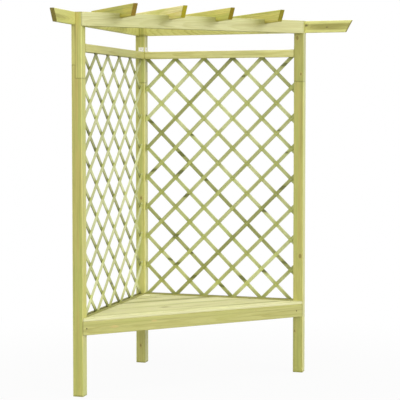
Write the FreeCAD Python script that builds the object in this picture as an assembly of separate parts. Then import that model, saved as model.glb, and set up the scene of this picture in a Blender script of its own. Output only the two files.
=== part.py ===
import FreeCAD, Part
import math
import os

# A corner arbour seat of planed pine: three posts, a trellis panel on each of the two back sides,
# a three-cornered seat across the front and a roof of beams and rafters. Millimetres, +Z up.
# The plan is drawn from the inner arris of the corner post, where the two trellis planes x = 0 and
# y = 0 meet, and the seat lies in x > 0, y < 0. At the end everything moves, so that the origin is
# on the ground under the middle of the whole.

# Posts, each of two lengths joined by a half lap
post_side = 55.0
post_height = 1940.0
post_ease = 3.0
bay = 870.0                 # clear width between two posts, on both sides
upper_length = 331.5        # from the lower length's shoulder to the top
lap_length = 67.0
lap_tongue = 22.0           # thickness of the lower length's tongue, on the post's outer side
lap_gap = 0.6               # left open over the inner shoulder, so that the outer one bears

# Beams round the top
side_beam_thick = 22.0
side_beam_high = 64.0
side_beam_overhang = 259.0
side_beam_rake = 35.0
front_beam_thick = 28.0
front_beam_high = 70.0
beam_ease = 2.0

# Rafters across the corner, square to the front beam
rafter_thick = 24.0
rafter_high = 60.0
rafter_notch = 22.0         # depth of the notches in its underside
rafter_fit = 0.5            # play each side of a beam in its notch
rafter_overhang = 167.0     # in front of the front beam, at the top
rafter_tail = 74.0          # behind the side beam, at the top
rafter_rake = 31.0
first_rafter = 222.0        # from the front beam's left end
last_rafter = 237.0         # from its right end
rafter_drift = (0.0, -7.0, -16.0, 0.0)   # each rafter's place off even spacing

# Rails of the trellis panels
rail_side = 40.0
rail_ease = 2.0
top_rail_drop = 156.5       # from the post's top down to the top rail
bottom_rail_top = 405.0
groove_depth = 12.0
groove_play = 0.5           # beside the slats, each side, and beyond their ends

# Trellis slats
slat_wide = 20.0
slat_thick = 6.0
slat_ease = 0.8
slat_end_gap = 2.0          # between the slats' ends and the posts
diamonds_across = 5
diamonds_high = 8
corner_crossing = 10.5      # from the corner post to the nearest column of crossings
front_crossing = 17.5       # from a front post to the nearest column
top_crossing = 0.5          # the top row of crossings lies this far under the top rail
bottom_crossing = 6.5       # the bottom row lies this far inside the bottom rail

# Seat
seat_top = 399.6
board_thick = 18.0
board_count = 3             # wide boards between the front strip and the corner board
front_strip_wide = 40.5
corner_board_deep = 104.6
board_gap = 5.0
board_end_gap = 1.0         # between the boards' ends and the trellis planes
board_ease = 2.0
seat_rail_thick = 28.0
seat_rail_high = 69.0
bearer_thick = 28.0
bearer_high = 45.0
middle_bearer_thick = 45.0

# Angle brackets, bent from strip
bracket_leg = 26.0
bracket_wide = 30.0
bracket_thick = 2.0
bracket_bend = 1.0          # inside radius
bracket_hole = 16.0         # from the bend's corner to the hole

# Screws, drawn with few sides because there are so many
screw_sides = 8
head_radius = 4.0
head_deep = 2.6
shank_radius = 2.0
point_long = 4.0
hole_play = 0.15
pan_rise = 2.2
pan_top_radius = 2.8
lap_screw = 42.0
side_beam_screw = 45.0
butt_screw = 60.0
front_beam_screw = 50.0
rafter_screw = 65.0
seat_rail_screw = 40.0
bearer_screw = 50.0
board_screw = 40.0
bracket_screw = 18.0

# Where the screws stand
lap_screw_spread = 18.0     # above and below the middle of the lap
beam_screw_spread = 20.0    # above and below the middle of the side beam
beam_screw_stagger = 13.5   # to either side of a front post's middle
back_screw_spread = 8.0     # the same in the corner post for the back beam, clear of the others
front_screw_spread = 18.0
seat_rail_screw_left = 22.0
seat_rail_screw_right = 40.0
bearer_screw_inset = 120.0
board_screw_inset = 30.0
strip_screw_inset = 70.0
strip_screw_count = 4

ROOT_2 = math.sqrt(2.0)
reach = bay + post_side                 # from the plan's zero to a front post's outer arris
front_line = reach * ROOT_2             # length of the front beam's face between those arrises
lap_bottom = post_height - upper_length
lap_top = lap_bottom + lap_length
seat_under = seat_top - board_thick
board_depth = front_line / 2 - front_strip_wide - corner_board_deep
board_wide = (board_depth - board_gap * (board_count + 1)) / board_count
top_rail_top = post_height - top_rail_drop
top_rail_under = top_rail_top - rail_side
bottom_rail_under = bottom_rail_top - rail_side
side_beam_under = post_height - side_beam_high
beyond = 10.0                           # how far a cutting shape runs past what it cuts

pieces = {}
fasteners = {}


# Shapes and places

def vec(x, y, z=0.0):
    return FreeCAD.Vector(x, y, z)


def prism(points, along):
    """Extrudes the closed outline through the points."""
    return Part.Face(Part.makePolygon(points + points[:1])).extrude(along)


def block(low, high):
    """A box between two corners."""
    return Part.makeBox(high[0] - low[0], high[1] - low[1], high[2] - low[2], vec(*low))


def bar(low, size, axis, ease):
    """A planed stick from its box's low corner, the four arrises along its axis eased."""
    first, second = [i for i in range(3) if i != axis]
    wide = size[first]
    high = size[second]
    outline = [(ease, 0), (wide - ease, 0), (wide, ease), (wide, high - ease),
               (wide - ease, high), (ease, high), (0, high - ease), (0, ease)]
    points = []
    for across, up in outline:
        point = list(low)
        point[first] += across
        point[second] += up
        points.append(vec(*point))
    along = [0.0, 0.0, 0.0]
    along[axis] = size[axis]
    return prism(points, vec(*along))


def placed(shape, placement):
    """A copy of the shape, moved from its own drawing frame."""
    moved = shape.copy()
    moved.Placement = placement.multiply(moved.Placement)
    return moved


def turned_z(origin, degrees):
    return FreeCAD.Placement(origin, FreeCAD.Rotation(vec(0, 0, 1), degrees))


# In this frame x runs along the front beam's face from its left end, and y goes back from it.
front_frame = turned_z(vec(0, -reach), 45.0)

# In a panel's frame x runs from its left post to its right one, seen from the seat, and y outwards.
panel_frames = {"left": turned_z(vec(0, -bay), 90.0), "back": turned_z(vec(0, 0), 0.0)}


def other_side(shape):
    """Mirrors a piece of the left side in the seat's middle plane to the back side."""
    return shape.mirror(vec(0, 0), vec(1, 1))


def other_side_point(point):
    return vec(-point.y, -point.x, point.z)


def across_corner(front, back, low, high, end_gap=0.0):
    """The space from one depth behind the front line to another, ended by both trellis planes."""
    off = end_gap * ROOT_2
    points = [vec(front + off, front, low), vec(front_line - front - off, front, low)]
    deepest = front_line / 2 - off
    if back < deepest:
        points += [vec(front_line - back - off, back, low), vec(back + off, back, low)]
    else:
        points += [vec(front_line / 2, deepest, low)]
    return prism(points, vec(0, 0, high - low))


# Posts

def outer_slab(x, y, side, thick, low, high):
    """The part of a post's section that lies within a thickness of one outer side."""
    if side == "left":
        return block((x - beyond, y - beyond, low), (x + thick, y + post_side + beyond, high))
    return block((x - beyond, y + post_side - thick, low),
                 (x + post_side + beyond, y + post_side + beyond, high))


def post_lower(x, y, tongue_side):
    """The long lower length, cut back above its shoulder to a tongue on one outer side."""
    post = bar((x, y, 0), (post_side, post_side, lap_top), 2, post_ease)
    above = block((x - beyond, y - beyond, lap_bottom),
                  (x + post_side + beyond, y + post_side + beyond, lap_top + beyond))
    return post.cut(above.cut(outer_slab(x, y, tongue_side, lap_tongue, lap_bottom, lap_top + beyond)))


def post_upper(x, y, tongue_side, rebate_sides):
    """The short upper length: its own tongue inside the lower one's, and rebates for side beams."""
    foot = lap_bottom + lap_gap
    post = bar((x, y, foot), (post_side, post_side, post_height - foot), 2, post_ease)
    post = post.cut(outer_slab(x, y, tongue_side, lap_tongue, foot - beyond, lap_top))
    for side in rebate_sides:
        post = post.cut(outer_slab(x, y, side, side_beam_thick, side_beam_under, post_height + beyond))
    return post


left_lower = post_lower(-post_side, -reach, "left")
left_upper = post_upper(-post_side, -reach, "left", ["left"])
pieces["left_post_lower"] = left_lower
pieces["left_post_upper"] = left_upper
pieces["right_post_lower"] = other_side(left_lower)
pieces["right_post_upper"] = other_side(left_upper)
pieces["corner_post_lower"] = post_lower(-post_side, 0, "back")
pieces["corner_post_upper"] = post_upper(-post_side, 0, "back", ["left", "back"])


# Beams

def side_beam(corner_end):
    """The left side's beam, from its raked front end to where it stops at the corner."""
    front_end = -(reach + side_beam_overhang)
    stick = bar((-post_side, front_end, side_beam_under),
                (side_beam_thick, corner_end - front_end, side_beam_high), 1, beam_ease)
    outline = [vec(-post_side - beyond, front_end, post_height),
               vec(-post_side - beyond, corner_end, post_height),
               vec(-post_side - beyond, corner_end, side_beam_under),
               vec(-post_side - beyond, front_end + side_beam_rake, side_beam_under)]
    return stick.common(prism(outline, vec(side_beam_thick + 2 * beyond, 0, 0)))


def mitred_bar(thick, low, high):
    """A bar along the front line, its ends cut to lie flat on the two front posts."""
    stick = bar((0, 0, low), (front_line, thick, high), 0, beam_ease)
    return placed(stick.common(across_corner(0, thick, low, low + high)), front_frame)


pieces["left_beam"] = side_beam(post_side - side_beam_thick)
pieces["back_beam"] = other_side(side_beam(post_side))
pieces["front_beam"] = mitred_bar(front_beam_thick, post_height - front_beam_high, front_beam_high)


# Rafters

def rafter_places():
    """Where the rafters' middles stand along the front line."""
    step = (front_line - first_rafter - last_rafter) / (len(rafter_drift) - 1)
    return [first_rafter + step * i + drift for i, drift in enumerate(rafter_drift)]


def rafter(place):
    """One rafter with raked ends, notched square over the front beam and askew over a side beam."""
    under = post_height - rafter_notch
    top = under + rafter_high
    if place < front_line / 2:
        behind = place + post_side * ROOT_2
        beam = block((-post_side - rafter_fit, -reach, under - beyond),
                     (-post_side + side_beam_thick + rafter_fit, post_side, post_height))
    else:
        behind = front_line - place + post_side * ROOT_2
        beam = block((-post_side, post_side - side_beam_thick - rafter_fit, under - beyond),
                     (reach, post_side + rafter_fit, post_height))
    front_end = -rafter_overhang
    back_end = behind + rafter_tail
    side = place - rafter_thick / 2
    stick = bar((side, front_end, under), (rafter_thick, back_end - front_end, rafter_high), 1, beam_ease)
    outline = [vec(side - beyond, front_end, top), vec(side - beyond, back_end, top),
               vec(side - beyond, back_end - rafter_rake, under),
               vec(side - beyond, front_end + rafter_rake, under)]
    stick = stick.common(prism(outline, vec(rafter_thick + 2 * beyond, 0, 0)))
    front_notch = block((side - beyond, -rafter_fit, under - beyond),
                        (side + rafter_thick + beyond, front_beam_thick + rafter_fit, post_height))
    return placed(stick.cut(front_notch), front_frame).cut(beam)


for number, place in enumerate(rafter_places(), 1):
    pieces["rafter_%d" % number] = rafter(place)


# Trellis panels: grooved rails, and slats in two layers that cross in the middle of the rails

def rail(top, groove_above):
    """A rail between two posts with the slats' groove in its upper or its lower face."""
    stick = bar((0, 0, top - rail_side), (bay, rail_side, rail_side), 0, rail_ease)
    half = slat_thick + groove_play
    middle = rail_side / 2
    if groove_above:
        low, high = top - groove_depth, top + beyond
    else:
        low, high = top - rail_side - beyond, top - rail_side + groove_depth
    return stick.cut(block((-beyond, middle - half, low), (bay + beyond, middle + half, high)))


def slats(first_crossing, outer):
    """One layer of slats: the inner layer rises to the right, and the outer one falls."""
    low_row = bottom_rail_top - bottom_crossing
    step_x = (bay - corner_crossing - front_crossing) / diamonds_across
    step_z = (top_rail_under - top_crossing - low_row) / diamonds_high
    slope = math.atan2(step_z, step_x)
    middle_x = first_crossing + step_x * diamonds_across / 2
    long = (bay + corner_crossing + front_crossing) / math.cos(slope) + 2 * slat_wide
    depth = rail_side / 2 if outer else rail_side / 2 - slat_thick
    stick = bar((-long / 2, depth, -slat_wide / 2), (long, slat_thick, slat_wide), 0, slat_ease)
    room = block((slat_end_gap, 0, bottom_rail_top - groove_depth + groove_play),
                 (bay - slat_end_gap, rail_side, top_rail_under + groove_depth - groove_play))
    layer = []
    for row in range(1 - diamonds_across, diamonds_high):
        height = low_row + (row + diamonds_across / 2) * step_z
        middle = FreeCAD.Placement(vec(middle_x, 0, height),
                                   FreeCAD.Rotation(vec(0, 1, 0), -math.degrees(slope)))
        slat = placed(stick, middle)
        if outer:
            slat = slat.mirror(vec(middle_x, 0), vec(1, 0))
        layer += slat.common(room).Solids
    return Part.makeCompound(layer)


first_crossings = {"left": front_crossing, "back": corner_crossing}
for side, frame in panel_frames.items():
    pieces[side + "_top_rail"] = placed(rail(top_rail_top, False), frame)
    pieces[side + "_bottom_rail"] = placed(rail(bottom_rail_top, True), frame)
    pieces[side + "_trellis_inner"] = placed(slats(first_crossings[side], False), frame)
    pieces[side + "_trellis_outer"] = placed(slats(first_crossings[side], True), frame)


# Seat frame: a rail across the front, a bearer along each side and one down the middle

def side_bearer():
    """The left bearer, cut askew behind the seat rail and mitred to its fellow in the corner."""
    front = -reach + seat_rail_thick * ROOT_2
    low = seat_under - bearer_high
    stick = bar((0, front, low), (bearer_thick, -front, bearer_high), 1, beam_ease)
    outline = [vec(0, front, low), vec(bearer_thick, front + bearer_thick, low),
               vec(bearer_thick, -bearer_thick, low), vec(0, 0, low)]
    return stick.common(prism(outline, vec(0, 0, bearer_high)))


def middle_bearer():
    """The middle bearer, square to the seat rail, pointed to fit between the side bearers."""
    middle = front_line / 2
    half = middle_bearer_thick / 2
    point = middle - bearer_thick * ROOT_2
    low = seat_under - bearer_high
    stick = bar((middle - half, seat_rail_thick, low),
                (middle_bearer_thick, point - seat_rail_thick, bearer_high), 1, beam_ease)
    outline = [vec(middle - half, seat_rail_thick, low), vec(middle + half, seat_rail_thick, low),
               vec(middle + half, point - half, low), vec(middle, point, low),
               vec(middle - half, point - half, low)]
    return placed(stick.common(prism(outline, vec(0, 0, bearer_high))), front_frame)


pieces["seat_front_rail"] = mitred_bar(seat_rail_thick, seat_under - seat_rail_high, seat_rail_high)
pieces["left_seat_bearer"] = side_bearer()
pieces["back_seat_bearer"] = other_side(side_bearer())
pieces["middle_seat_bearer"] = middle_bearer()


# Seat boards

def seat_board(front, back):
    """A board across the corner, its ends cut along the two trellis planes."""
    deep = min(back, front_line / 2) - front
    stick = bar((0, front, seat_under), (front_line, deep, board_thick), 0, board_ease)
    shape = stick.common(across_corner(front, back, seat_under, seat_top, board_end_gap))
    return placed(shape, front_frame)


def board_front(number):
    """Depth of a board's front edge behind the front line, counted from one."""
    return front_strip_wide + board_gap + (number - 1) * (board_wide + board_gap)


pieces["seat_front_strip"] = seat_board(0, front_strip_wide)
for number in range(1, board_count + 1):
    front = board_front(number)
    pieces["seat_board_%d" % number] = seat_board(front, front + board_wide)
pieces["seat_corner_board"] = seat_board(board_front(board_count + 1), front_line)


# Fasteners

def ring(radius, height):
    """The corners of a level polygon round the Z axis."""
    angles = [2 * math.pi * i / screw_sides for i in range(screw_sides)]
    return [vec(radius * math.cos(a), radius * math.sin(a), height) for a in angles]


def turned(profile):
    """A many-sided solid round the Z axis, from its radius and height pairs, flat on top."""
    rings = [ring(radius, height) for radius, height in profile[:-1]]
    tip = vec(0, 0, profile[-1][1])
    outlines = [rings[0]]
    for i in range(screw_sides):
        j = (i + 1) % screw_sides
        outlines += [[upper[i], upper[j], lower[j], lower[i]] for upper, lower in zip(rings, rings[1:])]
        outlines.append([rings[-1][i], rings[-1][j], tip])
    faces = [Part.Face(Part.makePolygon(outline + outline[:1])) for outline in outlines]
    return Part.Solid(Part.makeShell(faces))


def screw(long, pan):
    """A screw pointing down from its seat, with a flush countersunk head or a raised pan head."""
    if pan:
        head = [(pan_top_radius, pan_rise), (head_radius, 0), (shank_radius, 0)]
    else:
        head = [(head_radius, 0), (shank_radius, -head_deep)]
    return turned(head + [(shank_radius, point_long - long), (0, -long)])


def screw_hole(long, pan):
    """The hole that such a screw leaves in what it passes."""
    wide = shank_radius + hole_play
    mouth = head_radius + hole_play
    if pan:
        top = [(wide, beyond)]
    else:
        top = [(mouth, beyond), (mouth, 0), (wide, -head_deep)]
    return turned(top + [(wide, point_long - long), (0, -long - hole_play)])


def drive(group, long, point, direction, names, pan=False):
    """Drives one screw at a point and drills the named pieces for it."""
    place = FreeCAD.Placement(point, FreeCAD.Rotation(vec(0, 0, -1), direction))
    fasteners.setdefault(group, []).append(placed(screw(long, pan), place))
    for name in names:
        pieces[name] = pieces[name].cut(placed(screw_hole(long, pan), place))


# The piece that each piece of the left side becomes when it is mirrored to the back side
twins = {"left_post_lower": "right_post_lower", "left_post_upper": "right_post_upper",
         "left_beam": "back_beam", "left_bottom_rail": "back_bottom_rail",
         "left_seat_bearer": "back_seat_bearer"}


def drive_both_sides(group, long, point, direction, names):
    """Drives a screw on the left side and its mirror image on the back side."""
    drive(group, long, point, direction, names)
    others = [twins.get(name, name) for name in names]
    drive(group, long, other_side_point(point), other_side_point(direction), others)


# Laps: two screws through each tongue from outside
lap_middle = (lap_bottom + lap_top) / 2
for lift in (-lap_screw_spread, lap_screw_spread):
    drive_both_sides("lap_screws", lap_screw, vec(-post_side, post_side / 2 - reach, lap_middle + lift),
                     vec(1, 0), ["left_post_lower", "left_post_upper"])
    drive("lap_screws", lap_screw, vec(-post_side / 2, post_side, lap_middle + lift), vec(0, -1),
          ["corner_post_lower", "corner_post_upper"])

# Side beams: two screws into each post, and one through the back beam into the left beam's end
beam_middle = post_height - side_beam_high / 2
core_middle = (post_side - side_beam_thick) / 2
for sign in (-1, 1):
    height = beam_middle + sign * beam_screw_spread
    along = post_side / 2 - reach + sign * beam_screw_stagger
    drive_both_sides("beam_screws", side_beam_screw, vec(-post_side, along, height),
                     vec(1, 0), ["left_beam", "left_post_upper"])
    drive("beam_screws", side_beam_screw, vec(-post_side, core_middle, height), vec(1, 0),
          ["left_beam", "corner_post_upper"])
    drive("beam_screws", side_beam_screw,
          vec(-core_middle, post_side, beam_middle + sign * back_screw_spread), vec(0, -1),
          ["back_beam", "corner_post_upper"])
drive("beam_screws", butt_screw, vec(side_beam_thick / 2 - post_side, post_side, beam_middle),
      vec(0, -1), ["back_beam", "left_beam"])

# Front beam: two screws into each end through the post, their heads hidden under the side beam
front_beam_middle = post_height - front_beam_high / 2
for lift in (-front_screw_spread, front_screw_spread):
    drive_both_sides("front_beam_screws", front_beam_screw,
                     vec(side_beam_thick - post_side, front_beam_thick - reach, front_beam_middle + lift),
                     vec(1, 0), ["left_post_upper", "front_beam"])

# Rafters: one screw down into each beam that they cross
rafter_top = post_height - rafter_notch + rafter_high
for number, place in enumerate(rafter_places(), 1):
    name = "rafter_%d" % number
    on_left = place < front_line / 2
    beam_side = place if on_left else front_line - place
    over_side_beam = beam_side + (post_side - side_beam_thick / 2) * ROOT_2
    drive("rafter_screws", rafter_screw,
          front_frame.multVec(vec(place, front_beam_thick / 2, rafter_top)), vec(0, 0, -1),
          [name, "front_beam"])
    drive("rafter_screws", rafter_screw,
          front_frame.multVec(vec(place, over_side_beam, rafter_top)), vec(0, 0, -1),
          [name, "left_beam" if on_left else "back_beam"])

# Seat rail: one screw through each end, on the left into the post and on the right into the bearer
into_seat = front_frame.Rotation.multVec(vec(0, 1))
seat_rail_middle = seat_under - seat_rail_high / 2
for along, name in ((seat_rail_screw_left, "left_post_lower"),
                    (front_line - seat_rail_screw_right, "back_seat_bearer")):
    drive("seat_frame_screws", seat_rail_screw, front_frame.multVec(vec(along, 0, seat_rail_middle)),
          into_seat, ["seat_front_rail", name])

# Side bearers: three screws into each bottom rail, where the two overlap in height
overlap_middle = (bottom_rail_under + seat_under) / 2
for along in (-bay + bearer_screw_inset, -bay / 2, -bearer_screw_inset):
    drive_both_sides("seat_frame_screws", bearer_screw, vec(bearer_thick, along, overlap_middle),
                     vec(-1, 0), ["left_seat_bearer", "left_bottom_rail"])


# Seat boards: pairs of screws down into the side bearers and the middle one

def board_screws(name, depths):
    """Screws a board to all three bearers at the given depths behind the front line."""
    off = bearer_thick / 2 * ROOT_2
    for depth in depths:
        for along, bearer in ((depth + off, "left_seat_bearer"), (front_line / 2, "middle_seat_bearer"),
                              (front_line - depth - off, "back_seat_bearer")):
            drive("seat_board_screws", board_screw, front_frame.multVec(vec(along, depth, seat_top)),
                  vec(0, 0, -1), [name, bearer])


strip_step = (front_line - 2 * strip_screw_inset) / (strip_screw_count - 1)
for number in range(strip_screw_count):
    drive("seat_board_screws", board_screw,
          front_frame.multVec(vec(strip_screw_inset + number * strip_step, seat_rail_thick / 2, seat_top)),
          vec(0, 0, -1), ["seat_front_strip", "seat_front_rail"])
for number in range(1, board_count + 1):
    front = board_front(number)
    board_screws("seat_board_%d" % number,
                 (front + board_screw_inset, front + board_wide - board_screw_inset))
board_screws("seat_corner_board", [board_front(board_count + 1) + board_screw_inset])


# Angle brackets

def bracket():
    """A bent strip, one leg along +X on the plane z = 0 and one up the plane x = 0."""
    outline = [vec(0, 0), vec(bracket_leg, 0), vec(bracket_leg, 0, bracket_thick),
               vec(bracket_thick, 0, bracket_thick), vec(bracket_thick, 0, bracket_leg),
               vec(0, 0, bracket_leg)]
    strip = prism(outline, vec(0, bracket_wide, 0))
    strip.translate(vec(0, -bracket_wide / 2, 0))
    for offset, radius in ((0, bracket_bend + bracket_thick), (bracket_thick, bracket_bend)):
        strip = strip.makeFillet(radius, [edge for edge in strip.Edges if bend_edge(edge, offset)])
    return strip


def bend_edge(edge, offset):
    """True for the straight edge across the strip at this offset from both planes."""
    points = [vertex.Point for vertex in edge.Vertexes]
    return all(abs(p.x - offset) < 1e-6 and abs(p.z - offset) < 1e-6 for p in points)


def fit_bracket(group, place, foot_piece, back_piece):
    """Screws a bracket down at a placement, one leg on each of the two pieces."""
    pieces["bracket"] = placed(bracket(), place)
    turn = place.Rotation
    drive("bracket_screws", bracket_screw, place.multVec(vec(bracket_hole, 0, bracket_thick)),
          turn.multVec(vec(0, 0, -1)), ["bracket", foot_piece], pan=True)
    drive("bracket_screws", bracket_screw, place.multVec(vec(bracket_thick, 0, bracket_hole)),
          turn.multVec(vec(-1, 0, 0)), ["bracket", back_piece], pan=True)
    fasteners.setdefault(group, []).append(pieces.pop("bracket"))


panel_posts = {"left": ("left_post", "corner_post"), "back": ("corner_post", "right_post")}
for side, frame in panel_frames.items():
    for level, height, tilt in (("top", top_rail_top, 0.0), ("bottom", bottom_rail_under, 180.0)):
        section = "_upper" if level == "top" else "_lower"
        group = level + "_rail_brackets"
        rail_name = "%s_%s_rail" % (side, level)
        for along, spin, post in ((0.0, 0.0, panel_posts[side][0]), (bay, 180.0, panel_posts[side][1])):
            turn = FreeCAD.Rotation(vec(0, 0, 1), spin)
            if tilt:
                turn = turn.multiply(FreeCAD.Rotation(vec(1, 0, 0), tilt))
            place = FreeCAD.Placement(vec(along, rail_side / 2, height), turn)
            fit_bracket(group, frame.multiply(place), rail_name, post + section)

# One more holds the middle bearer's front end to the seat rail
bearer_corner = vec((front_line - middle_bearer_thick) / 2, seat_rail_thick, seat_under - bearer_high / 2)
on_edge = FreeCAD.Rotation(vec(-1, 0, 0), vec(0, 0, 1), vec(0, 1, 0), "XYZ")
fit_bracket("bearer_bracket", front_frame.multiply(FreeCAD.Placement(bearer_corner, on_edge)),
            "seat_front_rail", "middle_seat_bearer")


# Everything moves to its final place, and each piece is written to its own file

for name, solids in fasteners.items():
    pieces[name] = Part.makeCompound(solids)
whole = Part.makeCompound(list(pieces.values())).BoundBox
shift = vec(-(whole.XMin + whole.XMax) / 2, -(whole.YMin + whole.YMax) / 2, 0)
os.makedirs("parts", exist_ok=True)
for name, shape in pieces.items():
    shape.translate(shift)
    if len(shape.Solids) == 1:
        shape = shape.Solids[0]
    shape.exportStep("parts/%s.step" % name)
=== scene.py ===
import math

import bmesh
import bpy
import numpy as np
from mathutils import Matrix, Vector


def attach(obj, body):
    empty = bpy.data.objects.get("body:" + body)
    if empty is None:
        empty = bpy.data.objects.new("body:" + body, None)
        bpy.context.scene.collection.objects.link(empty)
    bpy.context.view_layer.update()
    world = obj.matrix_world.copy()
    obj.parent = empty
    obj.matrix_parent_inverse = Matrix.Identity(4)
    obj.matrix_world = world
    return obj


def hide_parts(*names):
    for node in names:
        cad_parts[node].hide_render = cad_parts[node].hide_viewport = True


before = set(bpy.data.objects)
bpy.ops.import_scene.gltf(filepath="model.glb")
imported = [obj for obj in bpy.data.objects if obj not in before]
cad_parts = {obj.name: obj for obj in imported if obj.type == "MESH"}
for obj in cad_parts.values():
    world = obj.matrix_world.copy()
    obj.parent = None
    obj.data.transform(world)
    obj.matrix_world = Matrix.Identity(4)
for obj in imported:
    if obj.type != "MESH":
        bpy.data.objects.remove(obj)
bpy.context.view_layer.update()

# The posts. Each is a lower and an upper length of square planed pine, sawn round the heart of a thin
# log, joined by a half lap and screwed. The green salt soaks the sapwood and leaves the heart tan, so
# a face that lies near the heart has a brown streak down its middle, and the sawn ends are darker: salt
# in the end grain, deepened as painted shade for the contact shadow at the feet.

UP = Vector((0.0, 0.0, 1.0))
NORTH = Vector((0.0, 1.0, 0.0))


def shade(red, green, blue):
    """A colour given by its display values, 0 to 255, as the shader wants it."""
    levels = [v / 255.0 for v in (red, green, blue)]
    return tuple(v / 12.92 if v <= 0.04045 else ((v + 0.055) / 1.055) ** 2.4 for v in levels) + (1.0,)


def grey(level):
    """A grey by how much light it gives back, 0 to 1."""
    return (level, level, level, 1.0)


class Wire:
    """An output of a shader node. Arithmetic on it adds the Math nodes, so a formula reads as on paper."""

    def __init__(self, socket):
        self.socket = socket
        self.tree = socket.id_data

    def add(self, kind, settings=None, sockets=None, output=0):
        """Adds a node: its settings first, then its sockets, each a number, a vector or a wire."""
        node = self.tree.nodes.new(kind)
        for key, value in (settings or {}).items():
            if key == "stops":
                ramp = node.color_ramp.elements
                for number, (place, colour) in enumerate(value):
                    stop = ramp[number] if number < 2 else ramp.new(place)
                    stop.position = place
                    stop.color = colour
            else:
                setattr(node, key, value)
        for key, value in (sockets or {}).items():
            if isinstance(value, Wire):
                self.tree.links.new(value.socket, node.inputs[key])
            else:
                node.inputs[key].default_value = value
        return Wire(node.outputs[output]) if node.outputs else None

    def out(self, name):
        """Another output of the same node."""
        return Wire(self.socket.node.outputs[name])

    def math(self, operation, *values):
        return self.add("ShaderNodeMath", {"operation": operation}, dict(enumerate(values)))

    def __add__(self, other):
        return self.math("ADD", self, other)

    def __sub__(self, other):
        return self.math("SUBTRACT", self, other)

    def __rsub__(self, other):
        return self.math("SUBTRACT", other, self)

    def __mul__(self, other):
        return self.math("MULTIPLY", self, other)

    def __truediv__(self, other):
        return self.math("DIVIDE", self, other)

    def __abs__(self):
        return self.math("ABSOLUTE", self)

    __radd__ = __add__
    __rmul__ = __mul__

    def rise(self, low, high):
        """0 under low, 1 over high and smooth between. With low over high it falls instead."""
        return self.add("ShaderNodeMapRange", {"interpolation_type": "SMOOTHSTEP"},
                        {"Value": self, "From Min": low, "From Max": high})

    def choose(self, low, high):
        """The first colour where this is 0, the second where it is 1, and mixed between."""
        return self.add("ShaderNodeMix", {"data_type": "RGBA"}, {0: self, 6: low, 7: high}, 2)

    def vector(self, operation, *values, output=0):
        return self.add("ShaderNodeVectorMath", {"operation": operation}, dict(enumerate(values)), output)

    def dot(self, axis):
        return self.vector("DOT_PRODUCT", self, axis, output="Value")

    def length(self):
        return self.vector("LENGTH", self, output="Value")

    def together(self, *parts):
        """A vector from its parts."""
        return self.add("ShaderNodeCombineXYZ", {}, dict(enumerate(parts)))

    def noise(self, a, b, c, detail, output=0):
        """Noise whose grain is set by how the three coordinates are scaled."""
        return self.add("ShaderNodeTexNoise", {}, {"Vector": self.together(a, b, c), "Scale": 1.0,
                                                   "Detail": detail}, output)

    def chance(self, number):
        """A random share for each whole number."""
        return self.add("ShaderNodeTexWhiteNoise", {"noise_dimensions": "1D"}, {"W": number})


def blank(name):
    """An empty material, with the wire of its place on the object."""
    material = bpy.data.materials.new(name)
    material.use_nodes = True
    material.node_tree.nodes.clear()
    return material, Wire(material.node_tree.nodes.new("ShaderNodeTexCoord").outputs["Object"])


GLOSS = 0.3
WAX_BENDS_LIGHT = 1.42
WAX_ROUGH = 0.4


def surface(material, colour, roughness, relief, depth, metallic=0.0, wax=0.0):
    """Joins the colour, roughness and relief to the material's shader."""
    bump = colour.add("ShaderNodeBump", {}, {"Height": relief, "Strength": 1.0, "Distance": depth})
    shader = colour.add("ShaderNodeBsdfPrincipled", {},
                        {"Base Color": colour, "Roughness": roughness, "Normal": bump, "Metallic": metallic,
                         "Specular IOR Level": GLOSS, "Coat Weight": wax, "Coat IOR": WAX_BENDS_LIGHT,
                         "Coat Roughness": WAX_ROUGH})
    colour.add("ShaderNodeOutputMaterial", {}, {"Surface": shader})
    return material


def clothe(name, material):
    """Gives a frame piece its finish."""
    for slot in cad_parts[name].material_slots:
        slot.material = material


def mesh_points(name):
    """The corner points of a frame piece, and its triangles as indices into them."""
    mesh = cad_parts[name].data
    mesh.calc_loop_triangles()
    points = np.empty(len(mesh.vertices) * 3, np.float32)
    mesh.vertices.foreach_get("co", points)
    corners = np.empty(len(mesh.loop_triangles) * 3, np.int32)
    mesh.loop_triangles.foreach_get("vertices", corners)
    return points.reshape(-1, 3).astype(float), corners.reshape(-1, 3)


def reach(name, axis):
    """How far a frame piece reaches along an axis: its lowest and highest."""
    places = mesh_points(name)[0] @ np.array(axis)
    return float(places.min()), float(places.max())


def stick_frame(name, along, face):
    """A stick's own axes, along its grain, out of its face and across, with its middle and half size."""
    axes = (along, face, along.cross(face))
    ranges = [reach(name, axis) for axis in axes]
    return axes, [(low + high) / 2 for low, high in ranges], [(high - low) / 2 for low, high in ranges]


# A face counts as sawn across the grain from this lean on, and as square to an axis from the next.
# Slack is in metres, a speck is a triangle too small to count, and the steps tell two faces apart.

ACROSS_GRAIN = 0.35
SQUARE = 0.99
SLACK = 0.002
SPECK = 1e-8
NOTHING = 1e-12
TURN_STEPS = 20
OFFSET_STEPS = 1000


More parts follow.
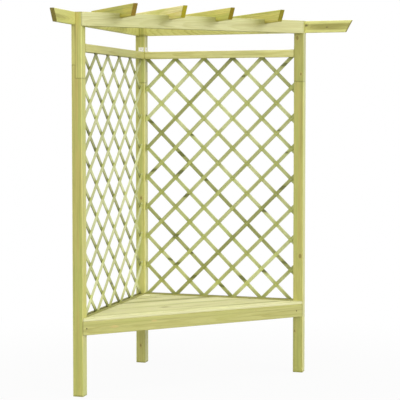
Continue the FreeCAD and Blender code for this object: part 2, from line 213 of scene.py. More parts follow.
def cut_faces(name, along, face):
    """The flat faces where a frame piece was sawn across its grain or into its section, found from its
    triangles: each face's outward direction, its distance from zero, its edges in the stick's axes, and
    whether it goes right through the stick."""
    axes, middle, half = stick_frame(name, along, face)
    axes, middle, half = np.array(axes), np.array(middle), np.array(half)
    points, triangles = mesh_points(name)
    first, second, third = (points[triangles[:, i]] for i in range(3))
    normals = np.cross(second - first, third - first)
    areas = np.linalg.norm(normals, axis=1) / 2
    normals /= np.maximum(areas, NOTHING)[:, None] * 2
    offsets = (normals * first).sum(1)
    lean = np.abs(normals @ axes.T)
    inside = np.abs(offsets - normals @ axes.T @ middle) < lean @ half - SLACK
    cut = (areas > SPECK) & ((lean[:, 0] > ACROSS_GRAIN) | (inside & (lean.max(1) > SQUARE)))
    keys = np.round(np.column_stack([normals * TURN_STEPS, offsets * OFFSET_STEPS])).astype(int)
    faces = []
    for key in np.unique(keys[cut], axis=0):
        same = cut & (keys == key).all(1)
        if areas[same].sum() < half[1] * half[2]:
            continue
        places = points[triangles[same]].reshape(-1, 3) @ axes.T - middle
        edges = [(float(low), float(high)) if most < SQUARE else None
                 for low, high, most in zip(places.min(0), places.max(0), lean[same][0])]
        through = bool((np.ptp(places, axis=0)[1:] > 2 * half[1:] - SLACK).all())
        faces.append((Vector(normals[same][0]), float(offsets[same][0]), edges, through))
    return faces


# How the wood is drawn. A pattern is its waves a metre along the grain and across it, and how fine it
# goes. A span is where a thing starts and where it is full.

FIBRE = (22.0, 900.0, 3.0)
RIPPLE = (7.0, 70.0, 2.0)
BAND = (1.1, 60.0, 1.0)
CLOUD = (3.1, 14.0, 3.0)
WISP = (1.9, 170.0, 1.0)
CHECK = (6.0, 260.0, 1.0)


def pattern(place, spots, kind, *shifts):
    """Noise drawn out along the grain: each coordinate times its waves a metre, plus its shift."""
    along, across, detail = kind
    spots = [spot * waves for spot, waves in zip(spots, (along, across, across))]
    return place.noise(*(spot + shift if shift else spot for spot, shift in zip(spots, shifts)), detail)


KNOT_ALONG = 0.6


def nearer(near, gap):
    """The length of a gap, or the distance already known where that is shorter."""
    gap = gap.length()
    return gap if near is None else near.math("MINIMUM", near, gap)


# How the pith strays along the stick, how the rings ripple and bend round a knot, in metres, and how
# dark the wood is through a year.

PITH_WAVES = 1.4
PITH_STRAYS = 0.016
SEED_STEP = 1.7
RIPPLE_SIZE = 0.004
ROUND_A_KNOT = (3.2, 0.6)
KNOT_PUSHES = 0.009
RING_TONES = ((0.0, grey(0.05)), (0.45, grey(0.12)), (0.86, grey(1.0)), (0.94, grey(0.8)),
              (1.0, grey(0.05)))
FAINTEST_RING = 0.4


def year_rings(place, spots, heart, tilt, spacing, near, seed):
    """The distance from the pith, bent by a slow wander and pushed aside by the knots, and how late in
    its year the wood there grew: that distance over the ring spacing, less its whole rings."""
    a, b, c = spots
    stray = place.noise(a * PITH_WAVES + seed, seed * SEED_STEP, 0.5, 1.0, "Color")
    stray = place.add("ShaderNodeSeparateXYZ", {}, {0: stray})
    u = b - heart[0] - a * tilt + (stray - 0.5) * PITH_STRAYS
    v = c - heart[1] + (stray.out("Y") - 0.5) * PITH_STRAYS
    ripple = pattern(place, spots, RIPPLE, seed, 0.0, seed)
    pith = place.math("SQRT", u * u + v * v) + (ripple - 0.5) * RIPPLE_SIZE
    if near is not None:
        pith = pith + near.rise(*ROUND_A_KNOT) * KNOT_PUSHES
    rings = pith / spacing
    late = rings.add("ShaderNodeValToRGB", {"stops": RING_TONES}, {"Fac": rings.math("FRACT", rings)})
    strength = rings.chance(rings.math("FLOOR", rings) + seed) * (1.0 - FAINTEST_RING) + FAINTEST_RING
    return pith, late * strength


SOAK_AND_SHADE_RAGGED = 0.8
SHOULDER_DEPTH = 0.45
SHOULDER_SOAK = 0.7
FROM_THE_SIDE = 0.003
CUT_EDGE = 0.001


def soaked_and_shaded(place, spots, half, cuts, full_depth, fibre):
    """How dark the wood is behind its sawn faces, partly salt drunk by the end grain and partly painted shade
    at the posts' feet and the slats' tips: full at a face and none at the given depth. A shoulder sawn into
    the stick darkens less deep than an end, and only beside its own edges."""
    soak_and_shade_mask = None
    for outward, offset, edges, through in cuts:
        depth = full_depth if through else full_depth * SHOULDER_DEPTH
        gap = abs(place.dot(outward) - offset) + (fibre - 0.5) * depth * SOAK_AND_SHADE_RAGGED
        deep = gap.rise(depth, 0.0)
        for spot, ends, most in zip(spots, edges, half):
            if ends and ends[0] > -most + FROM_THE_SIDE:
                deep = deep * spot.rise(ends[0] - CUT_EDGE, ends[0])
            if ends and ends[1] < most - FROM_THE_SIDE:
                deep = deep * spot.rise(ends[1] + CUT_EDGE, ends[1])
        if not through:
            deep = deep * SHOULDER_SOAK
        soak_and_shade_mask = deep if soak_and_shade_mask is None else soak_and_shade_mask.math("MAXIMUM", soak_and_shade_mask, deep)
    return soak_and_shade_mask


# Where each thing shows, and its share of the colour over what lies under it. The heart's streak is
# ragged by so many metres and fades between so many times its width; a patch and a knot do so by
# their own size, and a knot has so many rings to its size.

LATE_SHARE = 0.95
HEART_RAGGED = 0.008
HEART_FADES = (1.6, 0.5)
HEART_SHARE = 0.85
STAIN_CLOUDS = (0.42, 0.72)
STAIN_BANDS = (0.46, 0.72)
PATCH_RAGGED = 1.8
PATCH_FADES = (1.1, 0.4)
PATCH_SHARE = 0.8
KNOT_HALO = (2.6, 1.0)
HALO_SHARE = 0.55
KNOT_CORE = (1.15, 0.75)
KNOT_RINGS = 3.4
KNOT_SHARES = (0.65, 0.3)
WISP_SHOWS = (0.58, 0.68)
CHECK_OPENS = (0.735, 0.80)
CHECK_CLOUDS = (0.35, 0.6)
END_GRAIN = (0.35, 0.6)
END_SHARE = 0.94
RAYS_ACROSS = 160.0
RAYS_ALONG = 2.0
RAYS_FINE = 3.0
RAYS_SHOW = (0.35, 0.75)

# How far each thing moves the tone, then the relief as shares of its depth in metres with the planer's
# cutter marks, and last the roughness.

PLAIN_TONE = 1.02
FIBRE_TONE = 0.38
BAND_TONE = 0.34
CLOUD_TONE = 0.26
WISP_TONE = 0.11
CHECK_DARK = 0.3
DEEPER_BLUE = 0.6
RELIEF = 0.0004
LATE_LOWER = -0.5
FIBRE_UP = 0.4
CHECK_DOWN = 1.2
CUTTER_WAVES = 2500.0
CUTTER_UP = 0.04
KNOT_UP = 0.8
RAYS_UP = 0.8
ROUGH = 0.46
ROUGHER_FIBRE = 0.16
ROUGHER_END = 0.2


def pine(name, wood, along, face, heart, own=None, half=None, cuts=None, tilt=0.01, spacing=0.0042,
         heart_wood=0.0, knots=(), patches=(), seed=0.0, tone=1.0, soak_and_shade=0.35, soak_and_shade_depth=0.006, streaks=1.0,
         edge=(0.0045, 0.07), wax=1.0):
    """Pine sawn from a log whose pith runs beside or inside the stick, so that its faces show figure and
    its ends show arcs. The colour is the rings', stained in clouds and bands, times a tone: plain, plus
    fibre, bands and clouds, less wisps, ends darkened by salt and in places by painted shade, and checks,
    with its blue falling a little faster."""
    material, place = blank(name + "_pine")
    if own is None:
        axes, middle, half = stick_frame(name, along, face)
        spots = [place.dot(axis) - m for axis, m in zip(axes, middle)]
        near = green = None
    else:
        *spots, tone, near, green = own(place)
    if cuts is None:
        cuts = cut_faces(name, along, face)
    a, b, c = spots
    for knot_a, knot_c, size in knots:
        gap = place.together((a - knot_a) * (KNOT_ALONG / size), (c - knot_c) * (1.0 / size), 0.0)
        near = nearer(near, gap)
    pith, late = year_rings(place, spots, heart, tilt, spacing, near, seed)

    fibre = pattern(place, spots, FIBRE, seed, 0.0, 0.0)
    band = pattern(place, spots, BAND, seed, seed, 0.0)
    cloud = pattern(place, spots, CLOUD, seed, 0.0, seed)
    check = pattern(place, spots, CHECK, seed, 0.0, seed).rise(*CHECK_OPENS) * cloud.rise(*CHECK_CLOUDS)
    wisp = pattern(place, spots, WISP, seed, 0.0, seed).rise(*WISP_SHOWS)
    normal = place.out("Normal")
    end = abs(normal.dot(along)).rise(*END_GRAIN)
    rays = place.noise(b * RAYS_ACROSS, c * RAYS_ACROSS + seed, a * RAYS_ALONG, RAYS_FINE)

    colour = (late * LATE_SHARE).choose(wood["pale"], wood["late"])
    if heart_wood:
        streak = pith + (band - 0.5) * HEART_RAGGED
        streak = streak.rise(*(heart_wood * share for share in HEART_FADES))
        colour = (streak * HEART_SHARE).choose(colour, wood["heart"])
    stain = (cloud.rise(*STAIN_CLOUDS) * 0.5 + band.rise(*STAIN_BANDS) * 0.5) * streaks
    colour = stain.choose(colour, wood["stain"])
    if green is not None:
        colour = green.choose(colour, wood["green"])
    for patch_a, patch_c, long, wide in patches:
        patch = place.together((a - patch_a) / long, (c - patch_c) / wide, 0.0).length()
        patch = (patch + (band - 0.5) * PATCH_RAGGED).rise(*PATCH_FADES)
        colour = (patch * PATCH_SHARE).choose(colour, wood["heart"])

    value = ((fibre - 0.5) * FIBRE_TONE + (band - 0.5) * (BAND_TONE * streaks)
             + (cloud - 0.5) * (CLOUD_TONE * streaks) + PLAIN_TONE - wisp * (WISP_TONE * streaks))
    # The sawn faces darken behind them: salt in the end grain and, where the strength is raised, painted
    # shade.
    soak_and_shade_mask = soaked_and_shaded(place, spots, half, cuts, soak_and_shade_depth, fibre)
    if soak_and_shade_mask is not None:
        value = value - soak_and_shade_mask * soak_and_shade
    # The arris term changes the tone along the long edges; on the seat boards it is painted shade in the
    # joints.
    arris = place.math("MINIMUM", abs(b) - half[1], abs(c) - half[2]).rise(-edge[0], -edge[0] / 3)
    value = (value + arris * edge[1] - check * CHECK_DARK) * tone
    blue = value * (value * DEEPER_BLUE + (1.0 - DEEPER_BLUE))
    colour = colour.vector("MULTIPLY", colour, place.together(value, value, blue))

    relief = (late * LATE_LOWER + fibre * FIBRE_UP - check * CHECK_DOWN
              + place.math("SINE", a * CUTTER_WAVES) * CUTTER_UP)
    if near is not None:
        core = near.rise(*KNOT_CORE)
        rings = near.math("FRACT", near * KNOT_RINGS) * KNOT_SHARES[1] + KNOT_SHARES[0]
        colour = (near.rise(*KNOT_HALO) * HALO_SHARE).choose(colour, wood["heart"])
        colour = (core * rings).choose(colour, wood["knot"])
        relief = relief + core * KNOT_UP
    end_wood = (rays.rise(*RAYS_SHOW) * 0.5 + late * 0.5).choose(wood["end"], wood["end_late"])
    colour = (end * END_SHARE).choose(colour, end_wood)
    relief = relief + end * rays * RAYS_UP
    roughness = fibre * ROUGHER_FIBRE + end * ROUGHER_END + ROUGH
    if wax:
        wax = (1.0 - end) * (1.0 - abs(normal.dot(UP))) * wax
    return surface(material, colour, roughness, relief, RELIEF, wax=wax)


END_WOOD = {"end": shade(160, 148, 76), "end_late": shade(116, 100, 44)}
POST_WOOD = dict(END_WOOD, pale=shade(205, 202, 116), late=shade(184, 177, 84), heart=shade(198, 184, 102),
                 stain=shade(176, 180, 90), knot=shade(136, 120, 44))
POSTS = (  # where the heart runs, out of the front face and across it, and how wide; the tone; the knots,
    # each by its place along and across and its size
    ("left_post_lower", (0.016, 0.006), 0.017, 1.0, ()),
    ("left_post_upper", (0.014, 0.004), 0.018, 1.12, ()),
    ("corner_post_lower", (0.010, -0.008), 0.010, 1.12, ((-0.738, 0.0, 0.005), (0.113, 0.005, 0.006))),
    ("corner_post_upper", (0.010, -0.008), 0.010, 1.06, ()),
    ("right_post_lower", (0.013, 0.0), 0.017, 1.0, ((-0.190, 0.0115, 0.008), (-0.608, -0.0175, 0.0045))),
    ("right_post_upper", (0.012, 0.003), 0.013, 0.87, ((-0.125, 0.0123, 0.005), (0.072, -0.0085, 0.007))))
# The posts' end darkening is deepened as painted shade for their feet.
for number, (piece, heart, heart_wood, tone, knots) in enumerate(POSTS):
    clothe(piece, pine(piece, POST_WOOD, UP, -NORTH, heart, heart_wood=heart_wood, knots=knots, tone=tone,
                       soak_and_shade=0.42, soak_and_shade_depth=0.013, streaks=1.6, seed=1.9 * number))

# The beams: two side beams of thin board, housed in the posts' outer faces with raked front ends, and
# a thicker front beam cut to fit between the front posts. All planed pine.

EAST = Vector((1.0, 0.0, 0.0))
ALONG_FRONT = Vector((1.0, 1.0, 0.0)).normalized()
OUT_FRONT = Vector((1.0, -1.0, 0.0)).normalized()
BEAM_WOOD = dict(END_WOOD, pale=shade(205, 203, 139), late=shade(182, 178, 103), heart=shade(188, 184, 112),
                 stain=shade(184, 185, 112))
SIDE_BEAM_WOOD = dict(END_WOOD, pale=shade(218, 216, 130), late=shade(192, 188, 96),
                      heart=shade(138, 131, 46), stain=shade(196, 198, 106), knot=shade(92, 78, 36))
BEAMS = (  # the wood; how the beam lies; where its heart runs and how that climbs along it; the tone, the back beam's raised as painted light; the knots, along from the arbour's middle; and the brown patches, by place, length and width, the front beam's one a painted shade at its right end
    # knots, along from the arbour's middle; and the brown patches, by place, length and width
    ("left_beam", SIDE_BEAM_WOOD, NORTH, EAST, (-0.052, 0.010), -0.086, 0.93, (), ()),
    # The back beam's high tone is painted light, offsetting the shade of the front beam and rafters over it.
    ("back_beam", SIDE_BEAM_WOOD, EAST, -NORTH, (-0.048, 0.002), 0.110, 1.26,
     ((0.3953, -0.0078, 0.006), (0.512, 0.004, 0.003)), ()),
    # The front beam's patch darkens its right end as painted shade, offsetting the stronger light there.
    ("front_beam", BEAM_WOOD, ALONG_FRONT, OUT_FRONT, (-0.060, 0.012), 0.03, 0.98, (),
     ((0.50, 0.0, 0.30, 0.06),)))
for number, (piece, wood, along, face, heart, tilt, tone, knots, patches) in enumerate(BEAMS):
    middle = sum(reach(piece, along)) / 2
    knots = [(a - middle, c, size) for a, c, size in knots]
    clothe(piece, pine(piece, wood, along, face, heart, tilt=tilt, heart_wood=0.019, knots=knots,
                       patches=patches, tone=tone, seed=21.0 + 5.3 * number))

# The rafters: four lengths of pine on edge, notched over the beams, with raked ends. Their end grain
# has drunk the most salt and is brown, and their sides keep the saw's dull face, with no planed gloss.

RAFTER_WOOD = {"late": shade(204, 192, 82), "heart": shade(214, 182, 92), "stain": shade(188, 188, 84)}
RAFTERS = (  # the tone of the sides and their pale wood, then the pale and the dark of the end grain
    (0.74, shade(234, 225, 106), shade(162, 134, 48), shade(108, 88, 24)),
    (1.21, shade(234, 227, 164), shade(188, 177, 30), shade(138, 121, 18)),
    (1.01, shade(234, 227, 128), shade(158, 138, 16), shade(112, 94, 10)),
    (0.93, shade(232, 229, 134), shade(166, 156, 42), shade(116, 108, 28)))
for number, (tone, pale, end, end_late) in enumerate(RAFTERS, 1):
    piece = "rafter_%d" % number
    wood = dict(RAFTER_WOOD, pale=pale, end=end, end_late=end_late)
    clothe(piece, pine(piece, wood, OUT_FRONT, -ALONG_FRONT, (-0.035, 0.012), tone=tone, streaks=2.1,
                       wax=0.0, heart_wood=0.035, seed=41.0 + 5.3 * number))

# The rails of the trellis panels: square planed sticks of pine, grooved for the slats' ends and held to
# the posts by brackets. The lower two are painted dark as shade in the gap under the seat's edge, and
# the back top rail is painted lighter to offset the shade inside the arbour.

RAIL_WOOD = dict(END_WOOD, pale=shade(218, 214, 138), late=shade(194, 188, 98), stain=shade(196, 196, 118))
# Low tones on the bottom rails are painted shade; the back top rail's high tone is painted light.
RAIL_TONES_LIGHT_AND_SHADE = {"left_top_rail": 0.88, "back_top_rail": 1.25, "left_bottom_rail": 0.42, "back_bottom_rail": 0.5}
PANELS = {"left": (NORTH, EAST), "back": (EAST, -NORTH)}
for number, (piece, tone) in enumerate(RAIL_TONES_LIGHT_AND_SHADE.items()):
    along, face = PANELS[piece.split("_")[0]]
    clothe(piece, pine(piece, RAIL_WOOD, along, face, (-0.045, 0.003), tone=tone, seed=101.0 + 4.1 * number))

# The slats of the trellis panels: two layers of thin strip that cross. Each is cut from another board,
# so its colour is its own: some are pale sapwood, and some are dark from the butt of the log.

SLAT_WOOD = dict(END_WOOD, pale=shade(212, 216, 158), late=shade(186, 190, 120), heart=shade(144, 148, 72),
                 stain=shade(178, 188, 112), knot=shade(90, 94, 24), green=shade(186, 194, 70))
PALE_SLAT_WOOD = dict(SLAT_WOOD, pale=shade(214, 217, 168), late=shade(194, 198, 134),
                      stain=shade(190, 198, 140))
SLATS = {  # each layer's wood and tone; how dark its sawn ends are, from salt and painted shade; its dark and its pale slats, counted from the lowest; the painted shade beside each crossing; and its knots: the slat, the height and the size in millimetres
    # from the lowest; the dark that drips left above each crossing; and its knots: the slat, the height
    # and the size in millimetres
    "left_trellis_inner": (PALE_SLAT_WOOD, 0.81, 0.0, (11,), (0, 1, 4), 0.05, ()),
    "left_trellis_outer": (SLAT_WOOD, 0.78, 0.35, (2, 5), (0, 4, 6, 9, 10), 0.55,
                           ((5, 1.338, 8), (10, 1.578, 6), (8, 1.185, 8), (4, 1.167, 8), (5, 1.012, 5),
                            (2, 0.520, 7), (5, 0.604, 5))),
    "back_trellis_inner": (SLAT_WOOD, 0.85, 0.62, (3, 9), (1, 10, 11), 0.06,
                           ((8, 1.111, 7), (7, 1.101, 9), (6, 0.97, 7), (3, 1.024, 9), (4, 1.219, 3),
                            (3, 0.508, 8), (8, 1.642, 4), (5, 1.341, 3), (5, 0.738, 8), (7, 1.703, 7),
                            (4, 0.580, 6))),
    "back_trellis_outer": (SLAT_WOOD, 0.87, 0.62, (2, 5), (4, 6, 7, 8, 9, 10), 0.14,
                           ((5, 1.205, 11), (5, 1.061, 5), (6, 1.314, 4), (6, 0.893, 6), (1, 0.602, 5),
                            (2, 0.646, 5), (3, 0.511, 10), (4, 0.556, 7), (5, 0.607, 6), (5, 1.387, 6),
                            (2, 0.462, 6)))}
HALF_SLAT = (0.003, 0.010)
SAME_CORNER = 1e-5


def loose_solids(name):
    """The separate solids of a frame piece, each as its corner points: from a first corner, all that
    its edges lead to, and so on with the next corner that is left."""
    copy = bmesh.new()
    copy.from_mesh(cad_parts[name].data)
    bmesh.ops.remove_doubles(copy, verts=copy.verts, dist=SAME_CORNER)
    solids = []
    taken = set()
    for first in copy.verts:
        if first in taken:
            continue
        taken.add(first)
        found = [first]
        for corner in found:
            beside = [edge.other_vert(corner) for edge in corner.link_edges]
            beside = [other for other in beside if other not in taken]
            taken.update(beside)
            found += beside
        solids.append(np.array([corner.co for corner in found]))
    copy.free()
    return solids


def layer_of_slats(name, face):
    """A layer's slats: the direction of their grain, the one across them, each one's place across, and
    the gap from one to the next."""
    solids = loose_solids(name)
    longest = max(solids, key=lambda points: np.ptp(points[:, 2]))
    grain = Vector(np.linalg.svd(longest - longest.mean(0), full_matrices=False)[2][0])
    grain *= 1.0 if grain.z > 0 else -1.0
    across = grain.cross(face)
    across *= 1.0 if across.z > 0 else -1.0
    middles = [(points @ np.array(across)).min() + (points @ np.array(across)).max() for points in solids]
    lines = np.sort(middles) / 2
    gap = float(lines[-1] - lines[0]) / (len(lines) - 1)
    return {"grain": grain, "across": across, "lines": lines, "gap": gap}


def between_rails(side):
    """The height of a panel's opening: from the bottom rail's top to the top rail's underside."""
    return reach(side + "_bottom_rail", UP)[1], reach(side + "_top_rail", UP)[0]


# How the slats differ: each slat's place along the board it came from, its luck in tone, how it changes
# along its length, the painted shade beside each crossing, the darkening by the rails, partly moisture
# and partly painted shade, and the knots and green crossings, in metres.

ANOTHER_BOARD = 3.3
SAME_SLAT = 0.1
LUCK = 0.14
DARKER = -0.30
PALER = 0.22
TONE_WAVES = (5.0, 2.7)
TONE_SWING = 0.65
CROSSING_SHADE = (0.050, 0.012)
CROSSING_SHADE_STARTS = (0.0, 0.008)
FOOT_SHADE_AND_DAMP = (0.056, 0.0175)
TOP_SHADE_AND_DAMP = (0.035, 0.0105)
FOOT_SHARE = 0.5
SHADE_AND_DAMP_DARK = 0.32
RAIL_SHADE_FROM_CROSSING_SHADE = 0.6
OTHER_SLAT = 20.0
KNOT_HIGH = 0.7
KNOT_WIDE = 0.5
KNOT_ASIDE = 0.002
GREEN_AT_CROSSING = (0.016, 0.008)
GREEN_SHARE = 0.55
MILLIMETRE = 0.001
UPRIGHT = 0.5


def slat_places(place, name, seed):
    """Along the slat with each slat's own offset, out of its face, across it, its tone, holding painted
    shade beside each crossing and a darkening by the rails that is partly moisture and partly painted
    shade, how far the nearest knot lies, and where the salt dried green between two slats. Which slat it
    is: the place across the layer over the gap, rounded. The crossings come from the other layer in the
    same way."""
    _, layer_tone, _, dark, pale, crossing_shade_share, knots = SLATS[name]
    side = name.split("_")[0]
    face = PANELS[side][1]
    layer = layers[name]
    crossed = layers[side + ("_trellis_outer" if name.endswith("inner") else "_trellis_inner")]
    q = place.dot(layer["across"]) - float(layer["lines"][0])
    which = place.math("ROUND", q / layer["gap"])
    a = place.dot(layer["grain"]) + which * ANOTHER_BOARD
    c = q - which * layer["gap"]
    tone = (which.chance(which + seed) - 0.5) * LUCK + layer_tone
    for group, change in ((dark, DARKER), (pale, PALER)):
        for one in group:
            tone = tone + which.math("COMPARE", which, float(one), SAME_SLAT) * (change * layer_tone)

    patch = place.noise(a * TONE_WAVES[0], which * TONE_WAVES[1], seed, 1.0)
    count = (place.dot(crossed["across"]) - float(crossed["lines"][0])) / crossed["gap"]
    above = (count - place.math("ROUND", count)) * crossed["gap"]
    # Painted shade on one side of each crossing, where the other layer's slat shades this one.
    crossing_shade = above.rise(*CROSSING_SHADE) * above.rise(*CROSSING_SHADE_STARTS) * crossing_shade_share
    tone = tone * ((patch - 0.5) * TONE_SWING + 1.0 - crossing_shade)
    height = place.dot(UP)
    foot, top = between_rails(side)
    # Darkening by the rails: partly moisture in the grooves, partly painted shade under the top rail and by
    # the seat.
    shade_and_damp = (height.rise(*(foot + up for up in FOOT_SHADE_AND_DAMP)) * FOOT_SHARE
            + height.rise(*(top - down for down in TOP_SHADE_AND_DAMP)))
    tone = tone * (1.0 - shade_and_damp * (SHADE_AND_DAMP_DARK + crossing_shade_share * RAIL_SHADE_FROM_CROSSING_SHADE))

    near = None
    for one, level, size in knots:
        size = size * MILLIMETRE
        near = nearer(near, place.together(abs(which - float(one)) * OTHER_SLAT,
                                           (height - level) * (KNOT_HIGH / size),
                                           (c - KNOT_ASIDE) * (KNOT_WIDE / size)))
    out = place.dot(face) - sum(reach(name, face)) / 2
    return a, out, c, tone, near, abs(above).rise(*GREEN_AT_CROSSING) * GREEN_SHARE


layers = {piece: layer_of_slats(piece, PANELS[piece.split("_")[0]][1]) for piece in SLATS}
for number, (piece, (wood, _, soak_and_shade, *_)) in enumerate(SLATS.items()):
    face = PANELS[piece.split("_")[0]][1]
    grain = layers[piece]["grain"]
    seed = 121.0 + 7.7 * number
    # The slats' sawn tips are darkened by salt and by painted shade, most on the back panel by the corner.
    cuts = [(outward, offset, (None, None, None), True)
            for outward, offset, edges, through in cut_faces(piece, grain, face) if abs(outward.z) < UPRIGHT]
    clothe(piece, pine(piece, wood, grain, face, (-0.03, 0.0), cuts=cuts, half=(0.0,) + HALF_SLAT,
                       own=lambda place: slat_places(place, piece, seed), tilt=0.0, spacing=0.0028,
                       seed=seed, soak_and_shade=soak_and_shade, soak_and_shade_depth=0.018))

# The staples that hold the slats together, one shot in at each crossing from the seat's side: bright
# wire, pressed a little into the wood, each at its own slight angle.

STAPLE_HALF = 0.005
STAPLE_LEG = 0.010
STAPLE_BEND = 0.12
STAPLE_WIRE = (0.0011, 0.0006)
STAPLE_SUNK = 0.0001
STAPLE_TURN = 0.12
CLEAR_OF_RAILS = 0.008


def skin(name, grids, material, replaced=()):
    """One piece from grids of points. A grid's rows are rings that close on themselves: each is joined
    to the next by a band of quads, and the two end rings are closed by fans round their middles. A grid
    whose volume comes out negative is wound the other way round, so that its faces point outwards."""
    points = []
    faces = []
    start = 0
    for grid in grids:
        rows, columns = grid.shape[:2]
        middle = grid.mean((0, 1))
        ring, after = grid - middle, np.roll(grid, -1, axis=1) - middle
        volume = np.einsum("ijk,ijk->", ring[:-1], np.cross(after[:-1], ring[1:]))
        if volume < 0:
            grid = grid[:, ::-1]
        index = start + np.arange(rows * columns).reshape(rows, columns)
        ahead = np.roll(index, -1, axis=1)
        quads = np.stack([index[:-1], ahead[:-1], ahead[1:], index[1:]], -1).reshape(-1, 4)
        first, last = start + rows * columns, start + rows * columns + 1
        faces += quads.tolist()
        faces += [[first, b, a] for a, b in zip(index[0].tolist(), ahead[0].tolist())]
        faces += [[last, a, b] for a, b in zip(index[-1].tolist(), ahead[-1].tolist())]
        points += [grid.reshape(-1, 3), grid[0].mean(0)[None], grid[-1].mean(0)[None]]
        start += rows * columns + 2
    mesh = bpy.data.meshes.new(name)
    mesh.from_pydata(np.concatenate(points).tolist(), [], faces)
    mesh.materials.append(material)
    piece = bpy.data.objects.new(name, mesh)
    bpy.context.scene.collection.objects.link(piece)
    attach(piece, "root")
    if replaced:
        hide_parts(*replaced)
    return piece


def staple(point, out, turn):
    """A wire carried along a U: ring = path point + wide times the side + thick times the side crossed
    with the path's direction. The side is square to the U's plane, and the U's legs run into the wood."""
    out = np.array(out)
    up = np.array(UP)
    run = np.cross(out, up) * math.cos(turn) + up * math.sin(turn)
    side = np.cross(out, run)
    bend, flat = STAPLE_HALF * STAPLE_BEND, 1 - STAPLE_BEND
    path = np.array([(-1, -STAPLE_LEG), (-1, -bend), (-flat, 0), (flat, 0), (1, -bend), (1, -STAPLE_LEG)])
    spine = point + path[:, :1] * STAPLE_HALF * run + path[:, 1:] * out
    ways = np.gradient(spine, axis=0)
    ways /= np.linalg.norm(ways, axis=1)[:, None]
    thick = np.cross(side, ways)
    corners = np.array([(-1, -1), (1, -1), (1, 1), (-1, 1)]) / 2 * STAPLE_WIRE
    return spine[:, None] + corners[None, :, :1] * side + corners[None, :, 1:] * thick[:, None]


# How many crystals and clouds to a metre, and what they do to the roughness, the relief and the metal.

ZINC_CRYSTALS = 380.0
ZINC_CLOUDS = 130.0
CLOUDS_FINE = 4.0
CLOUDS_FROM = (0.35, 0.7)
CRYSTAL_SHARE = 0.35
ROUGHER_CRYSTAL = 0.18
ROUGHER_CLOUD = 0.2
CRYSTAL_UP = 0.15
ZINC_METAL = 0.85
DULL_METAL = -0.25
ZINC_RELIEF = 0.00008


def zinc(name, colour, dark, rough):
    """Zinc on steel: flat crystals, each with its own gloss, dulled in clouds. The share of the dark
    colour is the crystal's gloss and the cloud, and the clouds are rougher and less of a metal."""
    material, place = blank(name)
    crystal = place.add("ShaderNodeTexVoronoi", {}, {"Vector": place, "Scale": ZINC_CRYSTALS})
    gloss = crystal.out("Color").dot(EAST)
    dull = place.add("ShaderNodeTexNoise", {}, {"Vector": place, "Scale": ZINC_CLOUDS, "Detail": CLOUDS_FINE})
    tone = gloss * CRYSTAL_SHARE + dull.rise(*CLOUDS_FROM) * (1.0 - CRYSTAL_SHARE)
    roughness = gloss * ROUGHER_CRYSTAL + dull * ROUGHER_CLOUD + rough
    return surface(material, tone.choose(colour, dark), roughness, gloss * CRYSTAL_UP + dull, ZINC_RELIEF,
                   metallic=tone * DULL_METAL + ZINC_METAL)


bright_wire = zinc("staple_wire", shade(214, 212, 200), shade(176, 172, 150), 0.2)
hand = np.random.default_rng(17)
for side, (along, face) in PANELS.items():
    inner, outer = layers[side + "_trellis_inner"], layers[side + "_trellis_outer"]
    seat_side = reach(side + "_trellis_inner", face)[1] - STAPLE_SUNK
    foot, top = between_rails(side)
    first, last = reach(side + "_top_rail", along)
    ways = np.array([inner["across"], outer["across"], face])
    pairs = np.stack(np.meshgrid(inner["lines"], outer["lines"], [seat_side], indexing="ij"), -1)
    pairs = pairs.reshape(-1, 3)
    crossings = np.linalg.solve(ways, pairs.T).T
    run, height = crossings @ np.array(along), crossings[:, 2]
    crossings = crossings[(run > first + CLEAR_OF_RAILS) & (run < last - CLEAR_OF_RAILS)
                          & (height > foot + CLEAR_OF_RAILS) & (height < top - CLEAR_OF_RAILS)]
    turns = hand.normal(0.0, STAPLE_TURN, len(crossings))
    skin(side + "_trellis_staples", [staple(point, face, turn) for point, turn in zip(crossings, turns)],
         bright_wire)

# The seat's frame: a front rail between the front posts, two bearers along the trellis and one down
# the middle. The front rail's face has tan patches where the plane met the heart.

APRON_WOOD = dict(END_WOOD, pale=shade(188, 185, 108), late=shade(168, 163, 80), heart=shade(200, 180, 106),
                  stain=shade(168, 168, 84), knot=shade(134, 122, 62))
SEAT_FRAME = (
    ("seat_front_rail", ALONG_FRONT, OUT_FRONT, ((0.356, -0.0235, 0.002),),
     ((-0.48, 0.0, 0.022, 0.008), (-0.255, -0.013, 0.02, 0.007))),
    ("left_seat_bearer", NORTH, EAST, (), ()),
    ("back_seat_bearer", EAST, -NORTH, (), ()),
    ("middle_seat_bearer", OUT_FRONT, ALONG_FRONT, (), ()))
for number, (piece, along, face, knots, patches) in enumerate(SEAT_FRAME):
    clothe(piece, pine(piece, APRON_WOOD, along, face, (-0.05, 0.01), knots=knots, patches=patches,
                       streaks=1.2, seed=61.0 + 5.3 * number))

# The seat's boards: planed pine from the outside of the log, broader ringed than the posts, cut to the
# corner's shape and screwed down with open joints between them.

